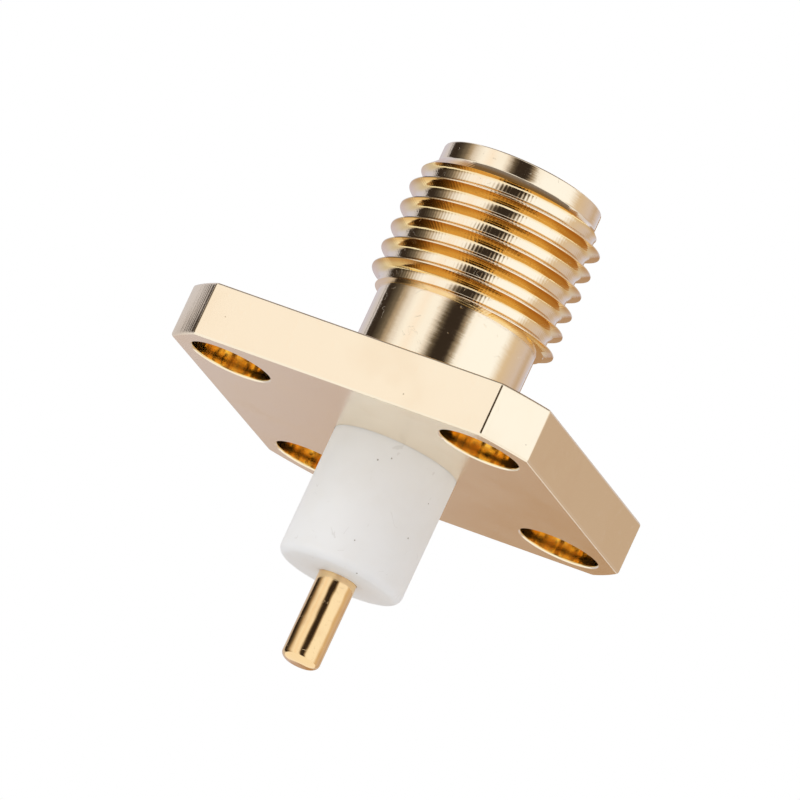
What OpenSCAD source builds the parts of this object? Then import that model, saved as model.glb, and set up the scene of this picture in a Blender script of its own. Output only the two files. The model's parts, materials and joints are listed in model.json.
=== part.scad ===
// SMA panel jack: square four-hole flange, threaded barrel, PTFE insulator that stands out behind the
// flange, and a centre contact that ends in a solder pin.
// Frame: the origin is the centre of the flange's rear face, and +Z runs towards the mating end.

/* [Flange] */
// Width of the square flange, across the flats
flange_w = 12.7; // [11.8:0.1:15]
// Thickness of the flange
flange_t = 1.8; // [1.2:0.02:2.6]
// Land between a screw hole and the rounded corner beyond it
corner_land = 0.55; // [0.4:0.01:1.2]
// Distance between neighbouring screw holes, centre to centre
hole_spacing = 8.84; // [8.4:0.02:9]
// Diameter of the screw holes
hole_d = 2.65; // [1.8:0.05:2.8]
// Break on the outer edges of the flange
flange_edge = 0.1; // [0.02:0.01:0.2]
// Break on the rims of the screw holes
hole_edge = 0.05; // [0.01:0.01:0.12]

/* [Barrel] */
// Diameter of the plain neck between flange and thread
neck_d = 5.36; // [5.1:0.02:5.5]
// Length of the neck, from the flange's front face to the cone below the thread
neck_h = 2.88; // [1.6:0.02:3.2]
// Slope of the cone below the thread, from the barrel's axis
neck_cone_angle = 75; // [45:1:80]
// Diameter of the pilot in front of the thread
pilot_d = 5.36; // [5.1:0.02:5.5]
// Length of the pilot, from the foot of the front cone to the mating face
pilot_h = 0.6; // [0.2:0.02:0.8]
// Distance from the flange's rear face to the mating face
mating_z = 9.66; // [8.6:0.02:11]
// Break on the pilot's front edge
pilot_edge = 0.06; // [0.02:0.01:0.12]

/* [Thread] */
// Major diameter of the 1/4-36 coupling thread
thread_d = 6.35; // [6.2:0.01:6.4]
// Threads in one inch
threads_per_inch = 36; // [32:1:38]
// Depth of the thread, crest to root
thread_depth = 0.38; // [0.34:0.01:0.43]
// Angle of the thread's flanks, one to the other
thread_angle = 60; // [50:1:62]
// Angle that the crest passes at the height of the flange's rear face
thread_phase = 46; // [0:1:359]
// Slope of the cone in front of the thread, from the barrel's axis
front_cone_angle = 45; // [30:1:55]
// Steps that one turn of the thread is built from
thread_steps = 36; // [24:4:48]

/* [Mating socket] */
// Diameter of the counterbore that takes the plug's outer conductor
socket_d = 4.6; // [4.4:0.02:4.8]
// Depth of the counterbore, from the mating face to the reference plane
socket_depth = 1.91; // [1.6:0.01:2.2]
// Chamfer at the mouth of the counterbore
socket_edge = 0.12; // [0.04:0.01:0.2]

/* [Insulator] */
// Diameter of the insulator, inside the body and on the stub behind the flange
insulator_d = 4.14; // [3.9:0.02:4.2]
// Diameter of the groove in the body's bore, which the insulator swells into
lock_groove_d = 4.6; // [4.4:0.05:5]
// Width of the groove
lock_groove_w = 0.8; // [0.5:0.05:1]
// Length of the stub behind the flange
stub_h = 4.3; // [2.5:0.1:8]
// Radius on the end of the stub
stub_round = 0.3; // [0.05:0.05:0.6]

/* [Centre contact] */
// Diameter of the contact, along the socket and the solder pin
contact_d = 1.27; // [1.15:0.01:1.5]
// Length of the solder pin behind the stub
pin_h = 3; // [1.5:0.1:6]
// Length of the domed end of the solder pin
pin_dome_h = 0.26; // [0.1:0.02:0.4]
// Diameter of the flat left on the tip of the solder pin
pin_flat_d = 0.5; // [0.2:0.05:0.7]
// Diameter of the hole that takes the plug's pin
contact_bore_d = 0.94; // [0.8:0.01:1]
// Depth of the hole that takes the plug's pin
contact_bore_depth = 2.9; // [2.5:0.1:3.6]
// Width of the four slots that let the socket spring
slot_w = 0.15; // [0.08:0.01:0.18]
// Depth of the four slots
slot_depth = 2.3; // [1.2:0.1:2.5]
// Chamfer at the mouth of the socket
contact_edge = 0.08; // [0.02:0.01:0.1]
// Diameter of the shoulder that keeps the contact in the insulator
shoulder_d = 1.9; // [1.6:0.05:2.4]
// Length of the shoulder
shoulder_h = 1.2; // [0.6:0.1:1.6]
// Distance from the end of the stub to the shoulder
shoulder_inset = 0.6; // [0.3:0.1:0.8]

/* [Fits] */
// Gap between the body and the insulator, on the radius and at the groove's ends
insulator_gap = 0.01; // [0.005:0.005:0.03]
// Gap between the insulator and the centre contact, on the radius and at the shoulder's ends
contact_gap = 0.01; // [0.005:0.005:0.03]

/* [Hidden] */
$fn = 96;

gold = [0.93, 0.72, 0.38];
ptfe_white = [0.93, 0.93, 0.92];
contact_gold = [0.95, 0.76, 0.42];

inch = 25.4;
// How far a cut runs past the face that it opens through
past = 0.5;

// The flange is turned from a bar, which leaves its corners round
flange_bar_r = hole_spacing / sqrt(2) + hole_d / 2 + corner_land;

// Radii on the barrel
thread_r = thread_d / 2;
root_r = thread_r - thread_depth;
neck_r = neck_d / 2;
pilot_r = pilot_d / 2;
insulator_r = insulator_d / 2;
bore_r = insulator_r + insulator_gap;

// Heights on the barrel, from the flange's rear face
neck_top_z = flange_t + neck_h;
pilot_foot_z = mating_z - pilot_h;
rear_core_z = neck_top_z + max(0, root_r - neck_r) / tan(neck_cone_angle);
front_core_z = pilot_foot_z - max(0, root_r - pilot_r) / tan(front_cone_angle);
plane_z = mating_z - socket_depth;
groove_low_z = (flange_t - lock_groove_w) / 2;

// Tooth of the thread. Its foot runs on along the flanks into the core, and its ends are set back along
// the axis from the core's own cones, so that ridge and core cross cleanly.
pitch = inch / threads_per_inch;
crest_flat = pitch / 8;
flank_slope = tan(thread_angle / 2);
foot_sink = 0.08;
foot_floor = 0.05;
sunk_r = min(root_r, neck_r, pilot_r) - 0.1;
end_setback = 0.03;

// Height of the thread's crest at an angle, and the angle at a height
function crest_z(angle) = (angle - thread_phase) * pitch / 360 + pitch;
function crest_angle(z) = (z - pitch) * 360 / pitch + thread_phase;
step_angle = 360 / thread_steps;
first_step = floor(crest_angle(neck_top_z - crest_flat) / step_angle);
last_step = ceil(crest_angle(pilot_foot_z + crest_flat) / step_angle);

// Radius that the two cones leave at a height, which trims the thread's ends
function cone_r(z) = min(
    neck_r + (z - neck_top_z - end_setback) * tan(neck_cone_angle),
    pilot_r + (pilot_foot_z - end_setback - z) * tan(front_cone_angle));

// Half a tooth, from its foot to its crest: [distance from the tooth's middle, radius]
foot = [crest_flat / 2 + (thread_depth + foot_sink) * flank_slope, root_r - foot_sink];
middle = [crest_flat / 2 + thread_depth / 2 * flank_slope, root_r + thread_depth / 2];
crest = [crest_flat / 2, thread_r];
function mirrored(p) = [-p[0], p[1]];
tooth = [mirrored(foot), mirrored(middle), mirrored(crest), crest, middle, foot];

// The tooth's section at an angle, trimmed by the cones and closed inside the core
function trimmed_r(p, z) = max(sunk_r + foot_floor, min(p[1], cone_r(z + p[0])));
function section_at(z) = concat(
    [[sunk_r, z - foot[0]]],
    [for (p = tooth) [trimmed_r(p, z), z + p[0]]],
    [[sunk_r, z + foot[0]]]);
function ring_at(angle) = [
    for (p = section_at(crest_z(angle)))
        [p[0] * cos(angle), p[0] * sin(angle), p[1]]];

// The ridge of the thread: one section after another along the helix, skinned into a closed solid
module thread_ridge() {
    rings = [for (i = [first_step : last_step]) ring_at(i * step_angle)];
    n = len(rings[0]);
    last = len(rings) - 1;
    skin = [
        for (i = [0 : last - 1], j = [0 : n - 1])
            let (a = i * n + j, b = i * n + (j + 1) % n)
                each [[a, b, b + n], [a, b + n, a + n]]];
    start_cap = [for (j = [n - 1 : -1 : 0]) j];
    end_cap = [for (j = [0 : n - 1]) last * n + j];
    polyhedron(
        points = [for (ring = rings) each ring],
        faces = concat(skin, [start_cap, end_cap]),
        convexity = 12);
}

// The barrel without its thread, turned about the axis: neck, cones, core and pilot
module barrel_core() {
    rotate_extrude()
        polygon([
            [0, flange_t / 2],
            [neck_r, flange_t / 2],
            [neck_r, neck_top_z],
            [root_r, rear_core_z],
            [root_r, front_core_z],
            [pilot_r, pilot_foot_z],
            [pilot_r, mating_z - pilot_edge],
            [pilot_r - pilot_edge, mating_z],
            [0, mating_z]]);
}

// Section of a plate with broken edges, half_w to each side
module plate_section(half_w) {
    polygon([
        [-half_w, flange_edge],
        [-half_w + flange_edge, 0],
        [half_w - flange_edge, 0],
        [half_w, flange_edge],
        [half_w, flange_t - flange_edge],
        [half_w - flange_edge, flange_t],
        [-half_w + flange_edge, flange_t],
        [-half_w, flange_t - flange_edge]]);
}

// The same section as a long bar, which runs past the flange at both ends
module plate_bar() {
    rotate([90, 0, 0])
        linear_extrude(2 * flange_w, center = true) plate_section(flange_w / 2);
}

// The flange as it leaves the lathe
module flange_disc() {
    rotate_extrude()
        intersection() {
            plate_section(flange_bar_r);
            square([flange_bar_r, flange_t]);
        }
}

// The disc with its four flats milled
module flange_plate() {
    intersection() {
        flange_disc();
        plate_bar();
        rotate([0, 0, 90]) plate_bar();
    }
}

// A screw hole with a broken rim on both faces
module screw_hole() {
    hole_r = hole_d / 2;
    rim_r = hole_r + hole_edge + past;
    rotate_extrude()
        polygon([
            [0, -past],
            [rim_r, -past],
            [hole_r, hole_edge],
            [hole_r, flange_t - hole_edge],
            [rim_r, flange_t + past],
            [0, flange_t + past]]);
}

// What is bored out along the axis: insulator bore with its groove, counterbore and mouth chamfer
module axial_bores() {
    socket_r = socket_d / 2;
    translate([0, 0, -past]) cylinder(r = bore_r, h = plane_z + 2 * past);
    translate([0, 0, groove_low_z]) cylinder(d = lock_groove_d, h = lock_groove_w);
    rotate_extrude()
        polygon([
            [0, plane_z],
            [socket_r, plane_z],
            [socket_r, mating_z - socket_edge],
            [socket_r + socket_edge, mating_z],
            [socket_r + socket_edge, mating_z + past],
            [0, mating_z + past]]);
}

module body() {
    color(gold)
        difference() {
            union() {
                flange_plate();
                barrel_core();
                thread_ridge();
            }
            axial_bores();
            for (x = [-1, 1], y = [-1, 1])
                translate([x * hole_spacing / 2, y * hole_spacing / 2, 0]) screw_hole();
        }
}

// Half section of the insulator, from the round end of the stub to the reference plane
module insulator_section() {
    rib_r = lock_groove_d / 2 - insulator_gap;
    flat_r = insulator_r - stub_round;
    round_z = -stub_h + stub_round;
    translate([0, round_z]) square([insulator_r, plane_z - round_z]);
    translate([0, -stub_h]) square([flat_r, stub_h]);
    translate([flat_r, round_z]) circle(r = stub_round);
    translate([0, groove_low_z + insulator_gap]) square([rib_r, lock_groove_w - 2 * insulator_gap]);
}

// Height of the rear end of the contact's shoulder
shoulder_z = -stub_h + shoulder_inset;

module insulator() {
    rod_r = contact_d / 2 + contact_gap;
    color(ptfe_white)
        difference() {
            rotate_extrude() insulator_section();
            translate([0, 0, -stub_h - past]) cylinder(r = rod_r, h = stub_h + plane_z + 2 * past);
            translate([0, 0, shoulder_z - contact_gap])
                cylinder(r = shoulder_d / 2 + contact_gap, h = shoulder_h + 2 * contact_gap);
        }
}

// Solder pin, shoulder and socket, turned from one rod
module contact_turning() {
    contact_r = contact_d / 2;
    flat_r = pin_flat_d / 2;
    tip_z = -stub_h - pin_h;
    dome_steps = 8;
    rotate_extrude()
        polygon(concat(
            [[0, tip_z]],
            [for (k = [0 : dome_steps])
                let (turn = k * 90 / dome_steps)
                    [flat_r + (contact_r - flat_r) * sin(turn), tip_z + pin_dome_h * (1 - cos(turn))]],
            [[contact_r, plane_z - contact_edge / 2],
             [contact_r - contact_edge / 2, plane_z],
             [0, plane_z]]));
    translate([0, 0, shoulder_z]) cylinder(d = shoulder_d, h = shoulder_h);
}

// The hole that takes the plug's pin, with its lead-in and a drilled bottom
module contact_hole() {
    hole_r = contact_bore_d / 2;
    bottom_z = plane_z - contact_bore_depth;
    rotate_extrude()
        polygon([
            [0, bottom_z - hole_r / 2],
            [hole_r, bottom_z],
            [hole_r, plane_z - contact_edge],
            [hole_r + contact_edge, plane_z],
            [hole_r + contact_edge, plane_z + past],
            [0, plane_z + past]]);
}

// Two cuts across the socket leave its four spring fingers
module socket_slots() {
    for (turn = [0, 90])
        rotate([0, 0, turn])
            translate([-contact_d, -slot_w / 2, plane_z - slot_depth])
                cube([2 * contact_d, slot_w, slot_depth + past]);
}

module center_contact() {
    color(contact_gold)
        difference() {
            contact_turning();
            contact_hole();
            socket_slots();
        }
}

body();
insulator();
center_contact();
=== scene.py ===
# %% [markdown]
# # A gold-plated coaxial jack
# The part is a square flange with four screw holes, a threaded barrel in front of it, and a white PTFE
# stub with a gold solder pin behind it. It is turned and milled metal, so almost everything here starts
# as a half section that is turned about the axis, the way a lathe makes it. The frame comes first,
# because every size is the CAD model's.

import json
import math

import bmesh
import bpy
from mathutils import Matrix, Vector

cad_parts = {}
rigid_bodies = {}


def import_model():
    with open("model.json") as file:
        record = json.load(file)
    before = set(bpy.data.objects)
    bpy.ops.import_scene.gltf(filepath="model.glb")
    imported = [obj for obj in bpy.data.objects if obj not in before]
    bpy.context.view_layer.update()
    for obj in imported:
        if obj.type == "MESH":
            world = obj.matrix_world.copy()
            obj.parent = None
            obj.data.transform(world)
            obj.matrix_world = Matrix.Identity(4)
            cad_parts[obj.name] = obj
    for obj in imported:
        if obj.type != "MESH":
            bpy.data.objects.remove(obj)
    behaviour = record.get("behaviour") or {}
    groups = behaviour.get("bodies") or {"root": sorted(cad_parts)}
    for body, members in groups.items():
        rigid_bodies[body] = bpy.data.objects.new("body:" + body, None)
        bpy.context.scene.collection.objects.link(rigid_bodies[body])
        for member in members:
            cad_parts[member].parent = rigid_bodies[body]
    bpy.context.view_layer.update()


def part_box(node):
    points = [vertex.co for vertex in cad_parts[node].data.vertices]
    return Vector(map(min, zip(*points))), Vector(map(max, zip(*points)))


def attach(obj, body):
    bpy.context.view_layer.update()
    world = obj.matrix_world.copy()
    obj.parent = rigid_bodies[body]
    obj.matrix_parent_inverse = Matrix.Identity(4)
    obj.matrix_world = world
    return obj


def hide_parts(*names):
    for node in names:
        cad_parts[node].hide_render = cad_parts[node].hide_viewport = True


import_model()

# %% [markdown]
# The jack is 17 mm long. Blender's mesh tools like sizes near 1, so pieces are modelled in millimetres
# and brought to metres when they are finished. The main sizes come from the boxes of the CAD nodes.

# %% Sizes in millimetres
MM = 0.001


def box_mm(node):
    low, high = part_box(node)
    return low / MM, high / MM


_, body_high = box_mm("body")
stub_low, stub_high = box_mm("insulator")
pin_low, _ = box_mm("center_contact")

FLANGE_HALF = body_high.x
FLANGE_T = 1.8
MATING_Z = body_high.z
PLANE_Z = stub_high.z
STUB_END_Z = stub_low.z
TIP_Z = pin_low.z

HOLE_REACH = 8.84 / 2
HOLE_R = 1.325
CORNER_LAND = 0.55
BAR_R = HOLE_REACH * math.sqrt(2) + HOLE_R + CORNER_LAND

NECK_R = 2.68
NECK_TOP_Z = FLANGE_T + 2.88
PILOT_FOOT_Z = MATING_Z - 0.6
CREST_R = 3.175
ROOT_R = 2.81
PITCH = 25.4 / 36
CREST_FLAT = 0.035
THREAD_PHASE = 46
CREST_Z = PITCH * (1 - THREAD_PHASE / 360)

STUB_R = 2.07
GAP = 0.01
SOCKET_R = 2.3
PIN_R = 0.635
PIN_BORE_R = 0.47
print(f"flange {2 * FLANGE_HALF:.2f} mm, mating face {MATING_Z:.2f} mm, pin tip {TIP_Z:.2f} mm")

# %% [markdown]
# An operator acts on whatever is selected, so each helper clears the selection first. `traced` walks
# one vertex along a half section with Extrude, as one draws a profile by hand. `turned` sweeps that
# section round the axis with the Screw modifier, which is Blender's lathe.

# %% Helpers for turning
def only(obj):
    bpy.ops.object.select_all(action="DESELECT")
    obj.select_set(True)
    bpy.context.view_layer.objects.active = obj
    return obj


def with_modifier(obj, kind, **settings):
    only(obj)
    modifier = obj.modifiers.new(kind.lower(), kind)
    for name, value in settings.items():
        setattr(modifier, name, value)
    bpy.ops.object.modifier_apply(modifier=modifier.name)
    return obj


def cleaned(obj):
    only(obj)
    bpy.ops.object.mode_set(mode="EDIT")
    bpy.ops.mesh.select_all(action="SELECT")
    bpy.ops.mesh.remove_doubles(threshold=1e-4)
    bpy.ops.mesh.normals_make_consistent(inside=False)
    bpy.ops.object.mode_set(mode="OBJECT")
    return obj


def traced(name, section):
    bpy.ops.object.select_all(action="DESELECT")
    bpy.ops.mesh.primitive_plane_add(size=1, location=(0, 0, 0))
    obj = bpy.context.object
    obj.name = obj.data.name = name
    bpy.ops.object.mode_set(mode="EDIT")
    bpy.ops.mesh.select_mode(type="VERT")
    bpy.ops.mesh.select_all(action="SELECT")
    bpy.ops.mesh.merge(type="CENTER")
    bpy.ops.transform.translate(value=(section[0][0], 0, section[0][1]))
    for (r0, z0), (r1, z1) in zip(section, section[1:]):
        bpy.ops.mesh.extrude_region_move(TRANSFORM_OT_translate={"value": (r1 - r0, 0, z1 - z0)})
    bpy.ops.object.mode_set(mode="OBJECT")
    return obj


def turned(name, section, steps=192):
    obj = traced(name, section)
    with_modifier(obj, "SCREW", axis="Z", angle=math.tau, steps=steps, render_steps=steps,
                  use_merge_vertices=True, merge_threshold=1e-4)
    return cleaned(obj)


# %% [markdown]
# No edge on a machined part is perfectly sharp, and a small radius is what catches the light. `rounded`
# replaces a corner of a section with an arc that touches both of its sides.

# %% Round the corners of a section
def rounded(section, radii, arcs=3):
    points = []
    for i, corner in enumerate(section):
        if i not in radii:
            points.append(tuple(corner))
            continue
        here, radius = Vector(corner), radii[i]
        back = (Vector(section[i - 1]) - here).normalized()
        ahead = (Vector(section[i + 1]) - here).normalized()
        half = back.angle(ahead) / 2
        centre = here + (back + ahead).normalized() * radius / math.sin(half)
        first = here + back * radius / math.tan(half) - centre
        last = here + ahead * radius / math.tan(half) - centre
        start = math.atan2(first.y, first.x)
        sweep = math.remainder(math.atan2(last.y, last.x) - start, math.tau)
        for k in range(arcs + 1):
            angle = start + sweep * k / arcs
            points.append((centre.x + radius * math.cos(angle), centre.y + radius * math.sin(angle)))
    return points


# %% [markdown]
# Booleans do what the mill and the drill do. The cutter is used up in the cut. The Manifold solver is
# quick and exact on closed meshes, which all of these are.

# %% Join, keep and cut
def combined(obj, other, operation):
    with_modifier(obj, "BOOLEAN", object=other, operation=operation, solver="MANIFOLD")
    bpy.data.objects.remove(other)
    return obj


def copied(obj, name):
    twin = obj.copy()
    twin.data = obj.data.copy()
    twin.name = twin.data.name = name
    bpy.context.scene.collection.objects.link(twin)
    return twin


def edit_cut(obj, point, normal):
    """Cut off the side that the normal points to, and close the cut."""
    only(obj)
    bpy.ops.object.mode_set(mode="EDIT")
    bpy.ops.mesh.select_all(action="SELECT")
    bpy.ops.mesh.bisect(plane_co=point, plane_no=normal, use_fill=True, clear_outer=True,
                        threshold=1e-5)
    bpy.ops.object.mode_set(mode="OBJECT")
    return obj


# %% [markdown]
# ## The threaded barrel
# On the real jack a single-point tool cuts one long 1/4-36 groove. Here one pitch of the thread, from
# root to root, is traced once, and the Screw modifier carries it up the helix. The root is wide and runs
# into both flanks with a fillet, as a worn tool leaves it. A fillet has to fit in the side it starts from,
# or the section crosses itself. The crest keeps a narrow flat with broken edges.

# %% Cut the thread
DEPTH = CREST_R - ROOT_R
LOWER_ANGLE, UPPER_ANGLE = 28, 21
ROOT_FILLET, UPPER_FILLET = 0.22, 0.1
LOWER_FLANK = DEPTH * math.tan(math.radians(LOWER_ANGLE))
UPPER_FLANK = DEPTH * math.tan(math.radians(UPPER_ANGLE))
tooth = rounded([(ROOT_R, CREST_Z - PITCH / 2),
                 (ROOT_R, CREST_Z - CREST_FLAT / 2 - LOWER_FLANK),
                 (CREST_R, CREST_Z - CREST_FLAT / 2),
                 (CREST_R, CREST_Z + CREST_FLAT / 2),
                 (ROOT_R, CREST_Z + CREST_FLAT / 2 + UPPER_FLANK),
                 (ROOT_R, CREST_Z + PITCH / 2)],
                {1: ROOT_FILLET, 2: 0.012, 3: 0.01, 4: UPPER_FILLET}, arcs=5)
TURNS = 14
barrel = traced("jack_body", tooth)
with_modifier(barrel, "SCREW", axis="Z", angle=math.tau, steps=192, render_steps=192,
              iterations=TURNS, screw_offset=PITCH, use_merge_vertices=False)
cleaned(barrel)
edit_cut(barrel, (0, 0, FLANGE_T / 2 + 0.2), (0, 0, -1))
edit_cut(barrel, (0, 0, MATING_Z + 0.2), (0, 0, 1))
cleaned(barrel)
print("threaded rod:", len(barrel.data.vertices), "vertices")

# %% [markdown]
# The thread runs out on a cone at each end. The lathe turns these cones before the thread is cut, so
# the barrel's plain outline, neck, cones and pilot, is turned as one solid, and only what lies inside
# both is kept.

# %% Trim it to the barrel's outline
CLEAR_R = CREST_R + 0.3
REAR_CONE = math.tan(math.radians(84))
outline = rounded([(0, FLANGE_T / 2),
                   (NECK_R, FLANGE_T / 2),
                   (NECK_R, NECK_TOP_Z),
                   (CLEAR_R, NECK_TOP_Z + (CLEAR_R - NECK_R) / REAR_CONE),
                   (CLEAR_R, PILOT_FOOT_Z - (CLEAR_R - NECK_R)),
                   (NECK_R, PILOT_FOOT_Z),
                   (NECK_R, MATING_Z),
                   (0, MATING_Z)], {5: 0.14, 6: 0.06}, arcs=5)
combined(barrel, turned("outline", outline, 256), "INTERSECT")
print("barrel:", len(barrel.data.polygons), "faces")

# %% [markdown]
# ## The flange
# The flange starts as a round bar. Four flats are milled on it, which leave its corners round, and a
# last light cut breaks the edges. So a cylinder is added, its four sides are bisected away, and the rims
# are beveled.

# %% Mill the flange
bpy.ops.object.select_all(action="DESELECT")
bpy.ops.mesh.primitive_cylinder_add(vertices=360, radius=BAR_R, depth=FLANGE_T,
                                    location=(0, 0, FLANGE_T / 2))
flange = bpy.context.object
flange.name = "flange"
bpy.ops.object.transform_apply(location=True)
for x, y in ((1, 0), (0, 1), (-1, 0), (0, -1)):
    edit_cut(flange, (x * FLANGE_HALF, y * FLANGE_HALF, 0), (x, y, 0))
cleaned(flange)


def bevel_edges(obj, picked, width, segments):
    only(obj)
    bpy.ops.object.mode_set(mode="EDIT")
    bpy.ops.mesh.select_mode(type="EDGE")
    bpy.ops.mesh.select_all(action="DESELECT")
    mesh = bmesh.from_edit_mesh(obj.data)
    for edge in mesh.edges:
        edge.select = picked(edge)
    count = sum(edge.select for edge in mesh.edges)
    bmesh.update_edit_mesh(obj.data)
    bpy.ops.mesh.bevel(offset=width, segments=segments, affect="EDGES", clamp_overlap=False)
    bpy.ops.object.mode_set(mode="OBJECT")
    print(f"{obj.name}: {count} edges beveled by {width} mm")


def mill_line(edge):
    upright = abs(edge.verts[0].co.z - edge.verts[1].co.z) > FLANGE_T / 2
    return upright and edge.calc_face_angle(0) > math.radians(20)


def on_rim(edge):
    heights = [vertex.co.z for vertex in edge.verts]
    return max(heights) < 1e-4 or min(heights) > FLANGE_T - 1e-4


MILL_BREAK, RIM_BREAK = 0.04, 0.1
bevel_edges(flange, mill_line, MILL_BREAK, 2)
bevel_edges(flange, on_rim, RIM_BREAK, 3)

# %% [markdown]
# The four screw holes are one drill, made once and copied. Its section widens at both faces, so it
# breaks the rims as it cuts.

# %% Drill the holes and join the barrel
PAST = 0.5
BREAK = 0.05
drill = turned("drill", rounded([(0, -PAST),
                                 (HOLE_R + BREAK + PAST, -PAST),
                                 (HOLE_R, BREAK),
                                 (HOLE_R, FLANGE_T - BREAK),
                                 (HOLE_R + BREAK + PAST, FLANGE_T + PAST),
                                 (0, FLANGE_T + PAST)], {2: 0.05, 3: 0.05}), 96)
for x in (-1, 1):
    for y in (-1, 1):
        hole = copied(drill, "hole")
        bpy.ops.object.select_all(action="DESELECT")
        hole.data.transform(Matrix.Translation((x * HOLE_REACH, y * HOLE_REACH, 0)))
        combined(flange, hole, "DIFFERENCE")
bpy.data.objects.remove(drill)
combined(barrel, flange, "UNION")

# %% [markdown]
# The body is bored through for the insulator, with a groove halfway that locks it, and counterbored at
# the mating end for the plug. One cutter does all of it.

# %% Bore the body
GROOVE_LOW, GROOVE_HIGH = 0.5, 1.3
SOCKET_EDGE = 0.12
bore_r = STUB_R + GAP
boring_bar = turned("boring_bar", [(0, -PAST),
                                   (bore_r, -PAST),
                                   (bore_r, GROOVE_LOW),
                                   (SOCKET_R, GROOVE_LOW),
                                   (SOCKET_R, GROOVE_HIGH),
                                   (bore_r, GROOVE_HIGH),
                                   (bore_r, PLANE_Z),
                                   (SOCKET_R, PLANE_Z),
                                   (SOCKET_R, MATING_Z - SOCKET_EDGE),
                                   (SOCKET_R + SOCKET_EDGE + PAST, MATING_Z + PAST),
                                   (0, MATING_Z + PAST)])
combined(barrel, boring_bar, "DIFFERENCE")
body = cleaned(barrel)
print("body:", len(body.data.polygons), "faces")

# %% [markdown]
# ## The insulator
# The white stub is a PTFE rod that is pressed through the flange. Its end is round where the cutter
# broke it, and a rib has crept into the body's groove. It is a closed ring in section, so the last point
# of the section meets the first.

# %% Turn the insulator
rod_hole_r = PIN_R + GAP
shoulder_r, shoulder_low, shoulder_high = 0.96, STUB_END_Z + 0.59, STUB_END_Z + 1.81
insulator_section = rounded([(rod_hole_r, STUB_END_Z),
                             (STUB_R, STUB_END_Z),
                             (STUB_R, GROOVE_LOW + GAP),
                             (SOCKET_R - GAP, GROOVE_LOW + GAP),
                             (SOCKET_R - GAP, GROOVE_HIGH - GAP),
                             (STUB_R, GROOVE_HIGH - GAP),
                             (STUB_R, PLANE_Z),
                             (rod_hole_r, PLANE_Z),
                             (rod_hole_r, shoulder_high),
                             (shoulder_r, shoulder_high),
                             (shoulder_r, shoulder_low),
                             (rod_hole_r, shoulder_low),
                             (rod_hole_r, STUB_END_Z)], {1: 0.3, 6: 0.05}, arcs=8)
insulator = turned("ptfe_insulator", insulator_section)
print("insulator:", len(insulator.data.polygons), "faces")

# %% [markdown]
# ## The centre contact
# Solder pin, shoulder and socket are turned from one rod. The tip of the pin is a low dome that ends in
# a small flat. The socket at the other end is drilled for the plug's pin and sawn into four fingers.

# %% Turn the contact
TIP_FLAT_R, DOME_H, DOME_STEPS = 0.25, 0.26, 10
dome = [(TIP_FLAT_R + (PIN_R - TIP_FLAT_R) * math.sin(math.radians(90 * k / DOME_STEPS)),
         TIP_Z + DOME_H * (1 - math.cos(math.radians(90 * k / DOME_STEPS))))
        for k in range(DOME_STEPS + 1)]
shoulder = [(PIN_R, shoulder_low + GAP), (shoulder_r - GAP, shoulder_low + GAP),
            (shoulder_r - GAP, shoulder_high - GAP), (PIN_R, shoulder_high - GAP)]
contact = turned("centre_contact", [(0, TIP_Z)] + dome + shoulder + [
    (PIN_R, PLANE_Z - 0.04), (PIN_R - 0.04, PLANE_Z), (0, PLANE_Z)], 128)

SOCKET_DEPTH, LEAD_IN = 2.9, 0.08
combined(contact, turned("pin_drill", [(0, PLANE_Z - SOCKET_DEPTH - PIN_BORE_R / 2),
                                       (PIN_BORE_R, PLANE_Z - SOCKET_DEPTH),
                                       (PIN_BORE_R, PLANE_Z - LEAD_IN),
                                       (PIN_BORE_R + LEAD_IN + PAST, PLANE_Z + PAST),
                                       (0, PLANE_Z + PAST)], 96), "DIFFERENCE")
SLOT_W, SLOT_DEPTH = 0.15, 2.3
for size in ((4 * PIN_R, SLOT_W), (SLOT_W, 4 * PIN_R)):
    bpy.ops.object.select_all(action="DESELECT")
    bpy.ops.mesh.primitive_cube_add(size=1, location=(0, 0, PLANE_Z + (PAST - SLOT_DEPTH) / 2),
                                    scale=(*size, SLOT_DEPTH + PAST))
    saw = bpy.context.object
    bpy.ops.object.transform_apply(location=True, scale=True)
    combined(contact, saw, "DIFFERENCE")
cleaned(contact)
print("contact:", len(contact.data.polygons), "faces")

# %% [markdown]
# Each piece is brought to metres and its scale is applied, so that it sits at the origin with its place
# in its mesh. Smooth by Angle keeps the real edges, and Weighted Normal keeps the large flats flat next
# to their small rounded edges.

# %% Finish the meshes
def finished(obj, node):
    only(obj)
    obj.scale = (MM, MM, MM)
    bpy.ops.object.transform_apply(scale=True)
    obj.data.materials.clear()
    bpy.ops.object.shade_smooth_by_angle(angle=math.radians(32))
    with_modifier(obj, "WEIGHTED_NORMAL", keep_sharp=True, weight=60)
    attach(obj, "root")
    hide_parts(node)
    triangles = sum(len(face.vertices) - 2 for face in obj.data.polygons)
    print(f"{obj.name}: {triangles} triangles")


finished(body, "body")
finished(insulator, "insulator")
finished(contact, "center_contact")

# %% [markdown]
# ## Materials
# Nodes are laid with two small helpers. A socket given as an input is linked, and a number is set.

# %% Helpers for nodes
def add(tree, kind, inputs=None, **settings):
    made = tree.nodes.new("ShaderNode" + kind)
    for name, value in settings.items():
        setattr(made, name, value)
    for name, value in (inputs or {}).items():
        if isinstance(value, bpy.types.NodeSocket):
            tree.links.new(value, made.inputs[name])
        else:
            made.inputs[name].default_value = value
    return made


def maths(tree, operation, a, b=0.0, c=0.0, clamp=False):
    return add(tree, "Math", {0: a, 1: b, 2: c}, operation=operation, use_clamp=clamp).outputs[0]


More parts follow.
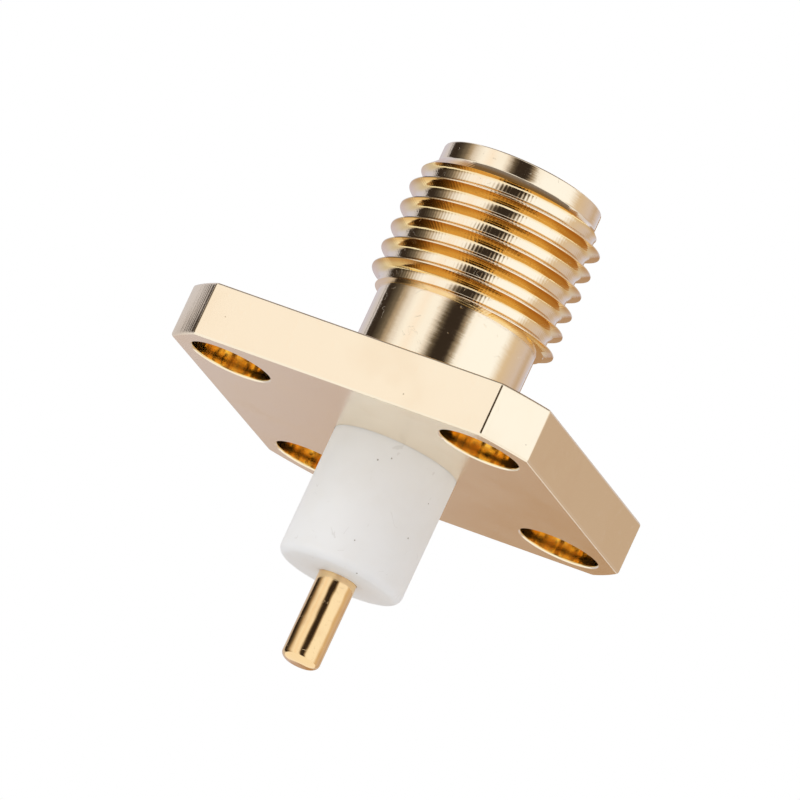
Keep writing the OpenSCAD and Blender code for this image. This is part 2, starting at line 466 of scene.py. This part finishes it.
def mixed(tree, factor, a, b, blend="MIX"):
    mix = add(tree, "Mix", data_type="RGBA", blend_type=blend)
    for index, value in ((0, factor), (6, a), (7, b)):
        if isinstance(value, bpy.types.NodeSocket):
            tree.links.new(value, mix.inputs[index])
        else:
            mix.inputs[index].default_value = value
    return mix.outputs[2]


def span(tree, value, low, high, to_low=0.0, to_high=1.0):
    return add(tree, "MapRange", {"Value": value, "From Min": low, "From Max": high,
                                  "To Min": to_low, "To Max": to_high},
               interpolation_type="SMOOTHSTEP").outputs["Result"]


def new_group(name, inputs, outputs):
    tree = bpy.data.node_groups.new(name, "ShaderNodeTree")
    for label, default in inputs.items():
        kind = "NodeSocketVector" if default is None else "NodeSocketFloat"
        socket = tree.interface.new_socket(label, in_out="INPUT", socket_type=kind)
        if default is not None:
            socket.default_value = default
    for label in outputs:
        tree.interface.new_socket(label, in_out="OUTPUT", socket_type="NodeSocketFloat")
    return tree, tree.nodes.new("NodeGroupInput"), tree.nodes.new("NodeGroupOutput")


def use(tree, group, inputs):
    made = tree.nodes.new("ShaderNodeGroup")
    made.node_tree = group
    for name, value in inputs.items():
        if isinstance(value, bpy.types.NodeSocket):
            tree.links.new(value, made.inputs[name])
        else:
            made.inputs[name].default_value = value
    return made


# %% [markdown]
# A lathe tool leaves rings. On a turned face they lie one inside the other, and on a cylinder one above
# the other, so both the radius and the height drive a noise, while the place round the axis changes it
# only slowly. The place round the axis is given as a point on a circle, which has no seam.

# %% Where on the turned part a point is
def polar(tree, vector):
    place = add(tree, "VectorMath", {0: vector, 1: (1000, 1000, 1000)}, operation="MULTIPLY")
    x, y, z = add(tree, "SeparateXYZ", {0: place.outputs[0]}).outputs
    radius = maths(tree, "SQRT", maths(tree, "ADD", maths(tree, "MULTIPLY", x, x),
                                       maths(tree, "MULTIPLY", y, y)))
    safe = maths(tree, "MAXIMUM", radius, 0.001)
    return radius, z, maths(tree, "DIVIDE", x, safe), maths(tree, "DIVIDE", y, safe)


turning, into, out = new_group("turning_marks", {"Vector": None, "Lines": 8.0, "Wander": 1.5,
                                                 "Coarse": 0.4}, ["Height", "Bands"])
radius, z, cos_a, sin_a = polar(turning, into.outputs["Vector"])
around = maths(turning, "MULTIPLY", cos_a, into.outputs["Wander"])
beside = maths(turning, "MULTIPLY", sin_a, into.outputs["Wander"])
ring_noise = []
for share in (1.0, 0.22):
    lines = maths(turning, "MULTIPLY", into.outputs["Lines"], share)
    place = add(turning, "CombineXYZ", {0: maths(turning, "MULTIPLY", radius, lines),
                                        1: maths(turning, "MULTIPLY", z, lines),
                                        2: around})
    ring_noise.append(add(turning, "TexNoise", {"Vector": place.outputs[0], "W": beside,
                                                "Scale": 1.0, "Detail": 2.0, "Roughness": 0.6},
                          noise_dimensions="4D").outputs[0])
fine, coarse = ring_noise
turning.links.new(maths(turning, "MULTIPLY_ADD", coarse, into.outputs["Coarse"], fine),
                  out.inputs["Height"])
turning.links.new(coarse, out.inputs["Bands"])

# %% [markdown]
# Handling leaves hair scratches and dust leaves specks. A scratch is the thin line where a stretched
# noise crosses its middle value, shown only where a second, broad noise lets it. A speck is the middle
# of a Voronoi cell, kept in only some of the cells.

# %% Scratches and specks
scratches, into, out = new_group("hair_scratches", {"Vector": None, "Scale": 900.0, "Width": 0.012,
                                                    "Cover": 0.5}, ["Mask"])
noise = add(scratches, "TexNoise", {"Vector": into.outputs["Vector"], "Scale": into.outputs["Scale"],
                                    "Detail": 0.0, "Distortion": 0.6})
off_line = maths(scratches, "ABSOLUTE", maths(scratches, "SUBTRACT", noise.outputs[0], 0.5))
line = maths(scratches, "LESS_THAN", off_line, into.outputs["Width"])
patch = add(scratches, "TexNoise", {"Vector": into.outputs["Vector"],
                                    "Scale": maths(scratches, "MULTIPLY", into.outputs["Scale"], 1.7),
                                    "Detail": 1.0})
shown = maths(scratches, "GREATER_THAN", into.outputs["Cover"], patch.outputs[0])
scratches.links.new(maths(scratches, "MULTIPLY", line, shown), out.inputs["Mask"])

specks, into, out = new_group("dust_specks", {"Vector": None, "Scale": 3000.0, "Size": 0.2,
                                              "Cover": 0.2}, ["Mask"])
cells = add(specks, "TexVoronoi", {"Vector": into.outputs["Vector"], "Scale": into.outputs["Scale"]})
near = maths(specks, "LESS_THAN", cells.outputs["Distance"], into.outputs["Size"])
pick = add(specks, "SeparateColor", {0: cells.outputs["Color"]}).outputs[0]
kept = maths(specks, "LESS_THAN", pick, into.outputs["Cover"])
specks.links.new(maths(specks, "MULTIPLY", near, kept), out.inputs["Mask"])
print("node groups:", [group.name for group in bpy.data.node_groups])

# %% [markdown]
# ## Gold plate on turned brass
# The plate is thin, so the tool marks of the brass show through it. Its base colour is a pale gold, which
# is what shows where it is bright. In the thread and the holes the base colour is painted deeper, as
# painted shade for the light that bounces from wall to wall there. In the thread, the flank's tilt picks
# the painted colour, and the sine of the angle round the axis gives the tool's chatter. At the limb, where
# the surface turns away, a painted sheen makes the gold paler.

# %% Materials start alike
def new_material(name, **constants):
    material = bpy.data.materials.new(name)
    material.use_nodes = True
    tree = material.node_tree
    tree.nodes.clear()
    shader = add(tree, "BsdfPrincipled", constants)
    output = add(tree, "OutputMaterial")
    tree.links.new(shader.outputs[0], output.inputs[0])
    place = add(tree, "TexCoord").outputs["Object"]
    return material, tree, shader, place


def bumped(tree, shader, height, depth_mm):
    bump = add(tree, "Bump", {"Height": height, "Strength": 1.0, "Distance": depth_mm * MM})
    tree.links.new(bump.outputs[0], shader.inputs["Normal"])


# The deeper and the brown gold are painted shade in the thread, and the limb gold is a painted sheen; the
# pale and the stain gold are the plate's own colour.
PALE_GOLD = (0.98, 0.86, 0.67, 1)
SHADE_DEEP_GOLD = (0.95, 0.72, 0.33, 1)
SHADE_BROWN_GOLD = (0.74, 0.43, 0.13, 1)
LIMB_SHEEN_GOLD = (0.93, 0.83, 0.76, 1)
STAIN_GOLD = (0.90, 0.72, 0.50, 1)

# %% Gold of the barrel
turned_gold, tree, shader, place = new_material("gold_turned", Metallic=1.0)
marks = use(tree, turning, {"Vector": place, "Lines": 16.0, "Wander": 2.5, "Coarse": 1.2})
hairs = use(tree, scratches, {"Vector": place, "Scale": 1700.0, "Width": 0.014, "Cover": 0.38})
radius, z, cos_a, sin_a = polar(tree, place)
on_thread = maths(tree, "MULTIPLY", span(tree, z, NECK_TOP_Z - 0.02, NECK_TOP_Z),
                  span(tree, z, PILOT_FOOT_Z, PILOT_FOOT_Z - 0.2))
# Painted shade: on the thread, flanks that face down get a deeper gold, browner towards the crest, and
# flanks that face up get brown.
tilt = add(tree, "SeparateXYZ", {0: add(tree, "TexCoord").outputs["Normal"]}).outputs[2]
falls = maths(tree, "MULTIPLY", span(tree, tilt, -0.12, -0.8), on_thread)
climbs = maths(tree, "MULTIPLY", span(tree, tilt, 0.15, 0.7), on_thread)
painted_groove_shade = mixed(tree, span(tree, radius, ROOT_R + 0.14, CREST_R - 0.03), SHADE_DEEP_GOLD, SHADE_BROWN_GOLD)
stain = add(tree, "TexNoise", {"Vector": place, "Scale": 700.0, "Detail": 3.0}).outputs[0]
stained = mixed(tree, span(tree, stain, 0.52, 0.75, 0.0, 0.3), PALE_GOLD, STAIN_GOLD)
golden = mixed(tree, climbs, mixed(tree, falls, stained, painted_groove_shade), SHADE_BROWN_GOLD)
# Painted sheen: the base colour turns paler towards the limb, where the surface turns away from the
# camera.
limb_sheen = span(tree, add(tree, "LayerWeight", {"Blend": 0.5}).outputs["Facing"], 0.6, 0.9)
tree.links.new(mixed(tree, limb_sheen, golden, LIMB_SHEEN_GOLD), shader.inputs["Base Color"])
tree.links.new(span(tree, marks.outputs["Bands"], 0.3, 0.7, 0.05, 0.11), shader.inputs["Roughness"])
turn_by = maths(tree, "ARCTAN2", sin_a, cos_a)
jitter = add(tree, "TexNoise", {"Vector": place, "Scale": 900.0, "Detail": 2.0}).outputs[0]
CHATTER_RATE, CHATTER_DRIFT = 150.0, 9.0
ripple = maths(tree, "SINE", maths(tree, "MULTIPLY_ADD", turn_by, CHATTER_RATE,
                                   maths(tree, "MULTIPLY", jitter, CHATTER_DRIFT)))
patches = add(tree, "TexNoise", {"Vector": place, "Scale": 500.0, "Detail": 1.0}).outputs[0]
chatter = maths(tree, "MULTIPLY", maths(tree, "MULTIPLY", ripple, on_thread),
                span(tree, patches, 0.35, 0.65, 0.12, 0.46))
rings = maths(tree, "MULTIPLY", marks.outputs["Height"], span(tree, on_thread, 0.0, 1.0, 2.6, 1.0))
height = maths(tree, "MULTIPLY_ADD", hairs.outputs[0], -0.8, maths(tree, "ADD", chatter, rings))
bumped(tree, shader, height, 0.0022)

# %% [markdown]
# The flange was milled. Its round corners keep upright lines from the cutter, which is a noise that only
# the angle round the axis changes. Handling has left small dents on its sides, and the rear face is a
# little duller than the sides.

# %% Gold of the flange
plate_gold, tree, shader, place = new_material("gold_flange", Metallic=1.0)
marks = use(tree, turning, {"Vector": place, "Lines": 6.0, "Wander": 2.0, "Coarse": 1.0})
hairs = use(tree, scratches, {"Vector": place, "Scale": 1300.0, "Width": 0.01, "Cover": 0.36})
dust = use(tree, specks, {"Vector": place, "Scale": 2300.0, "Size": 0.07, "Cover": 0.16})
radius, z, cos_a, sin_a = polar(tree, place)
rear = maths(tree, "LESS_THAN", z, 0.03)
on_corner = maths(tree, "GREATER_THAN", radius, BAR_R - 0.02)
stain = add(tree, "TexNoise", {"Vector": place, "Scale": 450.0, "Detail": 3.0}).outputs[0]
tone = mixed(tree, span(tree, stain, 0.5, 0.75, 0.0, 0.3), PALE_GOLD, STAIN_GOLD)
SOOT = (0.35, 0.24, 0.14, 1)
tree.links.new(mixed(tree, maths(tree, "MULTIPLY", dust.outputs[0], 0.5), tone, SOOT),
               shader.inputs["Base Color"])
tree.links.new(maths(tree, "MULTIPLY_ADD", rear, 0.1, span(tree, stain, 0.3, 0.7, 0.09, 0.15)),
               shader.inputs["Roughness"])
turn_by = maths(tree, "ARCTAN2", sin_a, cos_a)
cutter = add(tree, "TexNoise", {"W": maths(tree, "MULTIPLY", turn_by, 95.0), "Scale": 1.0,
                                "Detail": 1.0}, noise_dimensions="1D").outputs[0]
dents = add(tree, "TexNoise", {"Vector": place, "Scale": 2800.0, "Detail": 2.0}).outputs[0]
dented = span(tree, dents, 0.6, 0.72, 0.0, 2.2)
CUTTER_DEPTH = 8.0
height = maths(tree, "MULTIPLY_ADD", hairs.outputs[0], -0.5, marks.outputs["Height"])
height = maths(tree, "ADD", height, dented)
height = maths(tree, "MULTIPLY_ADD", maths(tree, "MULTIPLY", cutter, on_corner), CUTTER_DEPTH, height)
bumped(tree, shader, height, 0.0008)

# %% [markdown]
# Light enters a screw hole, bounces two or three times from wall to wall and takes up the gold's colour
# each time, so the walls' base colour is painted a deeper gold than the plate, as painted shade. The
# drill's streaks run nearly along the hole, so the noise is drawn out along Z; it mixes a brighter and a
# deeper gold along them.

# %% Gold of the hole walls
BRIGHT_WALL, DEEP_WALL = (1.0, 0.82, 0.42, 1), (0.94, 0.66, 0.27, 1)
hole_gold, tree, shader, place = new_material("gold_holes", Metallic=1.0)
drawn_out = add(tree, "Mapping", {"Vector": place, "Scale": (1800, 1800, 200)}).outputs[0]
streaks = add(tree, "TexNoise", {"Vector": drawn_out, "Scale": 1.0, "Detail": 2.0}).outputs[0]
tree.links.new(mixed(tree, span(tree, streaks, 0.4, 0.62), BRIGHT_WALL, DEEP_WALL),
               shader.inputs["Base Color"])
tree.links.new(span(tree, streaks, 0.3, 0.7, 0.06, 0.12), shader.inputs["Roughness"])
bumped(tree, shader, streaks, 0.012)

# %% [markdown]
# The pin is the deepest gold, and its wall is a little wavy, so the streaks it mirrors wander.

# %% Gold of the contact
PIN_GOLD, PIN_STAIN, WAVE_DEPTH = (0.96, 0.70, 0.38, 1), (0.84, 0.55, 0.29, 1), 14.0
pin_gold, tree, shader, place = new_material("gold_contact", Metallic=1.0)
marks = use(tree, turning, {"Vector": place, "Lines": 12.0, "Wander": 0.8, "Coarse": 0.6})
hairs = use(tree, scratches, {"Vector": place, "Scale": 2200.0, "Width": 0.014, "Cover": 0.42})
stain = add(tree, "TexNoise", {"Vector": place, "Scale": 1400.0, "Detail": 3.0}).outputs[0]
waves = add(tree, "TexNoise", {"Vector": place, "Scale": 1500.0, "Detail": 1.0}).outputs[0]
tree.links.new(mixed(tree, span(tree, stain, 0.45, 0.75, 0.0, 0.6), PIN_GOLD, PIN_STAIN),
               shader.inputs["Base Color"])
tree.links.new(maths(tree, "MULTIPLY_ADD", hairs.outputs[0], 0.1,
                     span(tree, marks.outputs["Bands"], 0.3, 0.7, 0.06, 0.12)),
               shader.inputs["Roughness"])
height = maths(tree, "MULTIPLY_ADD", waves, WAVE_DEPTH, marks.outputs["Height"])
bumped(tree, shader, maths(tree, "MULTIPLY_ADD", hairs.outputs[0], -0.8, height), 0.0016)

# %% [markdown]
# ## PTFE
# PTFE is soft, waxy and a little translucent. It takes faint turning marks, and dust and metal dust
# press into it as small dark specks.

# %% White of the insulator
CLEAN, CLOUDED = (0.93, 0.93, 0.94, 1), (0.91, 0.905, 0.905, 1)
SCRATCH, METAL_DUST = (0.6, 0.58, 0.56, 1), (0.3, 0.26, 0.22, 1)
ptfe, tree, shader, place = new_material("ptfe_white", **{
    "IOR": 1.35, "Subsurface Weight": 0.25, "Subsurface Radius": (1.0, 0.95, 0.9),
    "Subsurface Scale": 0.0006})
marks = use(tree, turning, {"Vector": place, "Lines": 5.0, "Wander": 2.5, "Coarse": 1.0})
hairs = use(tree, scratches, {"Vector": place, "Scale": 1500.0, "Width": 0.008, "Cover": 0.37})
dust = use(tree, specks, {"Vector": place, "Scale": 2600.0, "Size": 0.075, "Cover": 0.12})
cloud = add(tree, "TexNoise", {"Vector": place, "Scale": 800.0, "Detail": 3.0}).outputs[0]
white = mixed(tree, span(tree, cloud, 0.35, 0.7), CLEAN, CLOUDED)
lined = mixed(tree, maths(tree, "MULTIPLY", hairs.outputs[0], 0.25), white, SCRATCH)
tree.links.new(mixed(tree, maths(tree, "MULTIPLY", dust.outputs[0], 0.8), lined, METAL_DUST),
               shader.inputs["Base Color"])
tree.links.new(span(tree, cloud, 0.3, 0.7, 0.4, 0.52), shader.inputs["Roughness"])
bumped(tree, shader, maths(tree, "MULTIPLY_ADD", hairs.outputs[0], -0.5, marks.outputs["Height"]),
       0.002)

# %% [markdown]
# The body carries three of these finishes. Its faces are picked by place: what lies inside a screw
# hole, then the flange with its whole rear face, then the barrel.

# %% Give the faces their finish
for material in (turned_gold, plate_gold, hole_gold):
    body.data.materials.append(material)
for face in body.data.polygons:
    x, y, z = face.center / MM
    from_hole = math.hypot(abs(x) - HOLE_REACH, abs(y) - HOLE_REACH)
    if from_hole < HOLE_R + 0.02 and z < FLANGE_T:
        face.material_index = 2
    elif z < 0.02 or (math.hypot(x, y) > NECK_R + 0.02 and z < FLANGE_T + 0.01):
        face.material_index = 1
    else:
        face.material_index = 0
insulator.data.materials.append(ptfe)
contact.data.materials.append(pin_gold)
print("faces by finish:", [sum(f.material_index == i for f in body.data.polygons) for i in range(3)])

# %% [markdown]
# ## Studio
# Bright metal shows its surroundings and little else. The part hangs in a round light tent: white cloth
# with tan and grey panels and dark gaps, which draw the streaks on the barrel. The cloth hangs in slight
# folds, so the edges of its panels wander. The camera doesn't see the tent, and it doesn't light what is
# dull, only what mirrors it.

# %% Light tent
TENT_R, FLOOR_Z, TENT_TOP = 0.25, -0.13, 0.26
WHITE, GREY = (1.0, 1.0, 1.0), (0.64, 0.62, 0.66)
TAN, BLACK = (0.70, 0.56, 0.40), (0.035, 0.025, 0.018)
COOL = (0.87, 0.90, 0.95)
PEACH, PEARL = (1.0, 0.93, 0.87), (1.03, 1.06, 1.10)
DUSK, ROSE = (0.55, 0.42, 0.31), (0.64, 0.55, 0.52)


def shaded(colour, share):
    return tuple(share * c for c in colour)


panels = [(-180, BLACK), (-172, shaded(TAN, 0.11)), (-163, shaded(TAN, 0.24)),
          (-154, shaded(TAN, 0.62)), (-144, shaded(PEACH, 0.76)), (-132, WHITE), (-118, PEACH),
          (-108, WHITE), (-99, WHITE), (-94, shaded(PEACH, 0.8)), (-86, shaded(TAN, 0.25)),
          (-80, BLACK), (-62, BLACK), (-55, shaded(TAN, 0.5)), (-48, WHITE), (-40, PEARL), (6, PEARL),
          (22, TAN), (52, ROSE), (66, DUSK), (78, ROSE), (92, GREY), (100, COOL), (108, COOL),
          (114, GREY), (158, GREY), (160, BLACK), (161, GREY), (163, GREY), (165, BLACK),
          (180, BLACK)]
bpy.ops.object.select_all(action="DESELECT")
bpy.ops.mesh.primitive_cylinder_add(vertices=160, radius=TENT_R, depth=TENT_TOP - FLOOR_Z,
                                    end_fill_type="NOTHING",
                                    location=(0, 0, (TENT_TOP + FLOOR_Z) / 2))
tent = bpy.context.object
tent.name = "light_tent"
bpy.ops.object.transform_apply(location=True)
tent_cloth = bpy.data.materials.new("tent_cloth")
tent_cloth.use_nodes = True
tree = tent_cloth.node_tree
tree.nodes.clear()
x, y, z = add(tree, "SeparateXYZ", {0: add(tree, "TexCoord").outputs["Object"]}).outputs
bearing = maths(tree, "DIVIDE", maths(tree, "ARCTAN2", y, x), math.tau)
SLANT, LEVEL_Z, FOLD = 0.12, 0.055, 0.022
slant = maths(tree, "MULTIPLY_ADD", z, SLANT, -SLANT * LEVEL_Z)
folds = add(tree, "TexNoise", {"Vector": add(tree, "TexCoord").outputs["Object"], "Scale": 45.0,
                               "Detail": 2.0}).outputs[0]
wander = maths(tree, "MULTIPLY_ADD", folds, FOLD, -FOLD / 2)
share = maths(tree, "ADD", maths(tree, "ADD", bearing, 0.5), maths(tree, "ADD", slant, wander))
ramp = add(tree, "ValToRGB", {"Fac": share})
stops = ramp.color_ramp.elements
while len(stops) < len(panels):
    stops.new(1.0)
for stop, (angle, colour) in zip(stops, panels):
    stop.position = (angle + 180) / 360
    stop.color = (*colour, 1)
upper = maths(tree, "MULTIPLY", span(tree, z, 0.17, 0.23), 0.85)
cloth = mixed(tree, upper, ramp.outputs[0], (0.8, 0.79, 0.78, 1))
glow = add(tree, "Emission", {"Color": cloth, "Strength": 1.0})
tree.links.new(glow.outputs[0], add(tree, "OutputMaterial").inputs[0])
tent.data.materials.append(tent_cloth)
tent.visible_camera = False
tent.visible_shadow = False
tent.visible_diffuse = False

# %% [markdown]
# A dim board hangs over the tent. Edges and cones that face up would mirror nothing but white without
# it, and would be lost against it.

# %% Board over the tent
bpy.ops.object.select_all(action="DESELECT")
bpy.ops.mesh.primitive_circle_add(vertices=96, radius=0.19, fill_type="NGON",
                                  location=(0, 0, TENT_TOP))
board = bpy.context.object
board.name = "dim_board"
board_paint = bpy.data.materials.new("board_paint")
board_paint.use_nodes = True
tree = board_paint.node_tree
tree.nodes.clear()
glow = add(tree, "Emission", {"Color": (0.24, 0.21, 0.19, 1), "Strength": 1.0})
tree.links.new(glow.outputs[0], add(tree, "OutputMaterial").inputs[0])
board.data.materials.append(board_paint)
board.visible_camera = False
board.visible_shadow = False
board.visible_diffuse = False

# %% [markdown]
# The flange's rear face lies square to one low part of the tent, so a small card stands there, warm at
# one end and pinkish grey at the other.

# %% Card for the rear face
CARD_ANGLE, CARD_R = math.radians(114), 0.24
bpy.ops.object.select_all(action="DESELECT")
bpy.ops.mesh.primitive_plane_add(size=1, location=(0, 0, 0), rotation=(math.radians(90), 0, 0),
                                 scale=(0.12, 0.1, 1))
card = bpy.context.object
card.name = "warm_card"
bpy.ops.object.transform_apply(rotation=True, scale=True)
card.rotation_euler.z = CARD_ANGLE - math.radians(90)
card.location = (CARD_R * math.cos(CARD_ANGLE), CARD_R * math.sin(CARD_ANGLE), -0.06)
card_paper = bpy.data.materials.new("card_paper")
card_paper.use_nodes = True
tree = card_paper.node_tree
tree.nodes.clear()
x = add(tree, "SeparateXYZ", {0: add(tree, "TexCoord").outputs["Object"]}).outputs[0]
ROSE_END, BROWN_END = (0.62, 0.55, 0.56, 1), (0.46, 0.29, 0.16, 1)
paper = mixed(tree, span(tree, x, -0.014, 0.012), ROSE_END, BROWN_END)
glow = add(tree, "Emission", {"Color": paper, "Strength": 1.0})
tree.links.new(glow.outputs[0], add(tree, "OutputMaterial").inputs[0])
card.data.materials.append(card_paper)
card.visible_camera = False
card.visible_shadow = False
card.visible_diffuse = False

# %% [markdown]
# The floor is plain and pale, and lies well below the part, under the camera. The world gives an even
# soft light. What the camera, a reflection or glass sees of it is plain white.

# %% Floor, world and lamps
bpy.ops.object.select_all(action="DESELECT")
bpy.ops.mesh.primitive_plane_add(size=6, location=(0, 0, FLOOR_Z))
floor = bpy.context.object
floor.name = "floor"
pale, tree, shader, _ = new_material("pale_floor", **{"Base Color": (0.86, 0.86, 0.85, 1),
                                                       "Roughness": 0.8})
glossy = add(tree, "LightPath").outputs["Is Glossy Ray"]
white = add(tree, "Emission", {"Color": (1, 1, 1, 1), "Strength": 1.0})
either = add(tree, "MixShader", {0: glossy, 1: shader.outputs[0], 2: white.outputs[0]})
tree.links.new(either.outputs[0], tree.nodes["Material Output"].inputs[0])
floor.data.materials.append(pale)

world = bpy.data.worlds.new("soft_white")
bpy.context.scene.world = world
world.use_nodes = True
tree = world.node_tree
tree.nodes.clear()
rays = add(tree, "LightPath").outputs
seen = maths(tree, "MAXIMUM", rays["Is Camera Ray"],
             maths(tree, "MAXIMUM", rays["Is Glossy Ray"], rays["Is Transmission Ray"]))
AMBIENT = 0.74
strength = maths(tree, "MULTIPLY_ADD", seen, 1.0 - AMBIENT, AMBIENT)
sky = add(tree, "Background", {"Color": (1, 1, 1, 1), "Strength": strength})
tree.links.new(sky.outputs[0], add(tree, "OutputWorld").inputs[0])


def softbox(name, location, size, power, colour=(1, 1, 1)):
    bpy.ops.object.select_all(action="DESELECT")
    bpy.ops.object.light_add(type="AREA", location=location)
    lamp = bpy.context.object
    lamp.name = name
    lamp.data.size = size
    lamp.data.energy = power
    lamp.data.color = colour
    lamp.rotation_euler = (-Vector(location)).to_track_quat("-Z", "Y").to_euler()
    lamp.visible_glossy = False
    lamp.visible_camera = False


softbox("key_softbox", (-0.22, -0.38, 0.10), 0.30, 0.42)
softbox("top_softbox", (0.03, 0.03, 0.24), 0.20, 0.07)
softbox("warm_softbox", (0.36, -0.12, -0.04), 0.20, 0.07, (1.0, 0.72, 0.58))

# %% [markdown]
# ## Camera
# A long lens looks up at the rear of the part from its right, and the camera is rolled, so that the
# barrel leans to the right in the picture.

# %% Set the camera
AIM = Vector((-0.40, -0.58, 1.59)) * MM
DISTANCE, AZIMUTH, ELEVATION, ROLL = 0.4016, 24.12, -12.39, 25.03
SENSOR_MM, LENS_MM = 36, 582.3
bpy.ops.object.select_all(action="DESELECT")
bpy.ops.object.camera_add()
camera = bpy.context.object
turn, tilt = math.radians(AZIMUTH), math.radians(ELEVATION)
back = Vector((math.cos(tilt) * math.sin(turn), -math.cos(tilt) * math.cos(turn), math.sin(tilt)))
level = back.to_track_quat("Z", "Y").to_matrix()
right = Vector((0, 0, 1)).cross(back).normalized()
up = back.cross(right)
roll = Matrix.Rotation(math.radians(ROLL), 3, back)
axes = Matrix((roll @ right, roll @ up, back)).transposed()
camera.matrix_world = Matrix.LocRotScale(AIM + back * DISTANCE, axes.to_quaternion(), None)
camera.data.sensor_width = SENSOR_MM
camera.data.lens = LENS_MM
camera.data.clip_start = 0.01
camera.data.clip_end = 20
bpy.context.scene.camera = camera
bpy.context.scene.view_settings.view_transform = "Standard"
print("camera at", [round(v, 4) for v in camera.location], "right", [round(v, 4) for v in roll @ right])
